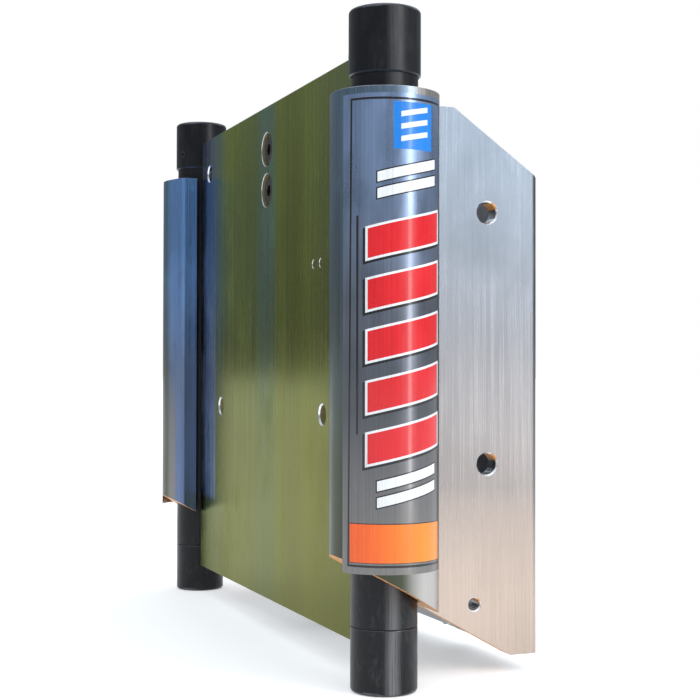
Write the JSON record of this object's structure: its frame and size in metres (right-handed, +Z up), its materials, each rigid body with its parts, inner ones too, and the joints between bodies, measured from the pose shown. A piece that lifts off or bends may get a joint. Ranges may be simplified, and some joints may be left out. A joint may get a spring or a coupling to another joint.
{
  "type": "hydraulic jack plate",
  "caption": "Plate that carries an outboard motor behind a boat's transom and slides up and down on two guide tubes, raised by a hydraulic cylinder.",
  "frame": {"origin": "on the transom face, midway between the two upper transom bolts", "axes": "+X to starboard, +Y forward into the transom, +Z up along the guide tubes"},
  "size_m": [0.5066, 0.1526, 0.424],
  "materials": {
    "brushed_aluminium": "brushed, vertical grain",
    "plate_aluminium": "brushed, vertical grain",
    "machined_aluminium": "machined",
    "black_anodised": "satin black anodised",
    "black_paint": "satin",
    "chrome": "polished",
    "stainless_steel": "machined",
    "bushing_plastic": "natural",
    "seal_rubber": "matt",
    "label_film": "gloss film"
  },
  "bodies": {
    "transom_frame": {"starboard_bracket": "brushed_aluminium", "port_bracket": "brushed_aluminium", "starboard_upper_bushing": "bushing_plastic", "starboard_lower_bushing": "bushing_plastic", "port_upper_bushing": "bushing_plastic", "port_lower_bushing": "bushing_plastic", "crossmember": "brushed_aluminium", "tie_bar": "brushed_aluminium", "crossmember_screws": "stainless_steel", "tie_bar_screws": "stainless_steel", "cylinder_lug": "machined_aluminium", "lug_screws": "stainless_steel", "lower_pin": "stainless_steel", "lower_pin_rings": "stainless_steel", "cylinder_barrel": "black_paint", "base_cap": "black_paint", "gland": "machined_aluminium", "rod_seal": "seal_rubber", "rod_wiper": "seal_rubber", "base_port_fitting": "stainless_steel", "rod_port_fitting": "stainless_steel", "starboard_label": "label_film", "port_label": "label_film"},
    "motor_carriage": {"motor_plate": "plate_aluminium", "starboard_guide_tube": "black_anodised", "port_guide_tube": "black_anodised", "starboard_top_cap": "black_anodised", "port_top_cap": "black_anodised", "starboard_bottom_plug": "black_anodised", "port_bottom_plug": "black_anodised", "cap_set_screws": "stainless_steel", "starboard_rail_screws": "stainless_steel", "port_rail_screws": "stainless_steel", "lift_bracket": "machined_aluminium", "lift_bracket_screws": "stainless_steel", "upper_pin": "stainless_steel", "upper_pin_rings": "stainless_steel", "piston_rod": "chrome", "rod_eye": "machined_aluminium", "piston": "machined_aluminium", "piston_seal": "seal_rubber", "piston_nut": "stainless_steel"}
  },
  "joints": [
    {"name": "lift", "type": "slide", "parent": "transom_frame", "child": "motor_carriage", "axis": [0, 0, 1], "range_m": [0, 0.1397]}
  ]
}
